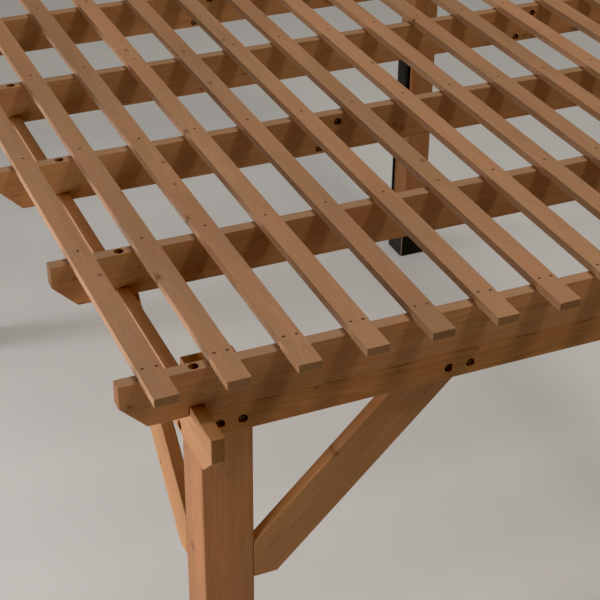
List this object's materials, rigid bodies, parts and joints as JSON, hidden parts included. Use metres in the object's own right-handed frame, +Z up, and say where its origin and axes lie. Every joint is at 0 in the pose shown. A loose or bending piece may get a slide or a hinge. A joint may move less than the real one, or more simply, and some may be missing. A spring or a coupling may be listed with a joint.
{
  "type": "wooden pergola",
  "caption": "Free-standing timber garden pergola with posts on steel shoes, knee braces, side beams, headers, rafters on edge and an open roof of narrow slats.",
  "frame": {"origin": "on the ground, in the middle of the plan of the frame", "axes": "+X to the right along the rafters, +Y to the back along the slats, +Z up"},
  "size_m": [3.32, 4.584, 2.53],
  "materials": {
    "slat_wood": "oiled, planed softwood with screws countersunk",
    "rafter_wood": "oiled, planed softwood",
    "beam_wood": "oiled, planed softwood",
    "post_wood": "oiled, planed softwood with eased corners",
    "brace_wood": "oiled, planed softwood",
    "shoe_steel": "black powder coat",
    "box_plastic": "black moulded plastic with a hinged weather lid",
    "conduit_plastic": "black plastic conduit"
  },
  "bodies": {
    "root": {"beam_brace_back_left": "brace_wood", "beam_brace_back_right": "brace_wood", "beam_brace_front_left": "brace_wood", "beam_brace_front_right": "brace_wood", "header_back": "beam_wood", "header_brace_back_left": "brace_wood", "header_brace_back_right": "brace_wood", "header_brace_front_left": "brace_wood", "header_brace_front_right": "brace_wood", "header_front": "beam_wood", "outlet_box": "box_plastic", "outlet_conduit": "conduit_plastic", "post_back_left": "post_wood", "post_back_right": "post_wood", "post_front_left": "post_wood", "post_front_right": "post_wood", "post_shoes": "shoe_steel", "rafter_1": "rafter_wood", "rafter_2": "rafter_wood", "rafter_3": "rafter_wood", "rafter_4": "rafter_wood", "rafter_5": "rafter_wood", "rafter_6": "rafter_wood", "rafter_7": "rafter_wood", "rafter_8": "rafter_wood", "roof_slat_01": "slat_wood", "roof_slat_02": "slat_wood", "roof_slat_03": "slat_wood", "roof_slat_04": "slat_wood", "roof_slat_05": "slat_wood", "roof_slat_06": "slat_wood", "roof_slat_07": "slat_wood", "roof_slat_08": "slat_wood", "roof_slat_09": "slat_wood", "roof_slat_10": "slat_wood", "roof_slat_11": "slat_wood", "roof_slat_12": "slat_wood", "roof_slat_13": "slat_wood", "roof_slat_14": "slat_wood", "roof_slat_15": "slat_wood", "roof_slat_16": "slat_wood", "roof_slat_17": "slat_wood", "roof_slat_18": "slat_wood", "side_beam_left": "beam_wood", "side_beam_right": "beam_wood"}
  },
  "joints": []
}
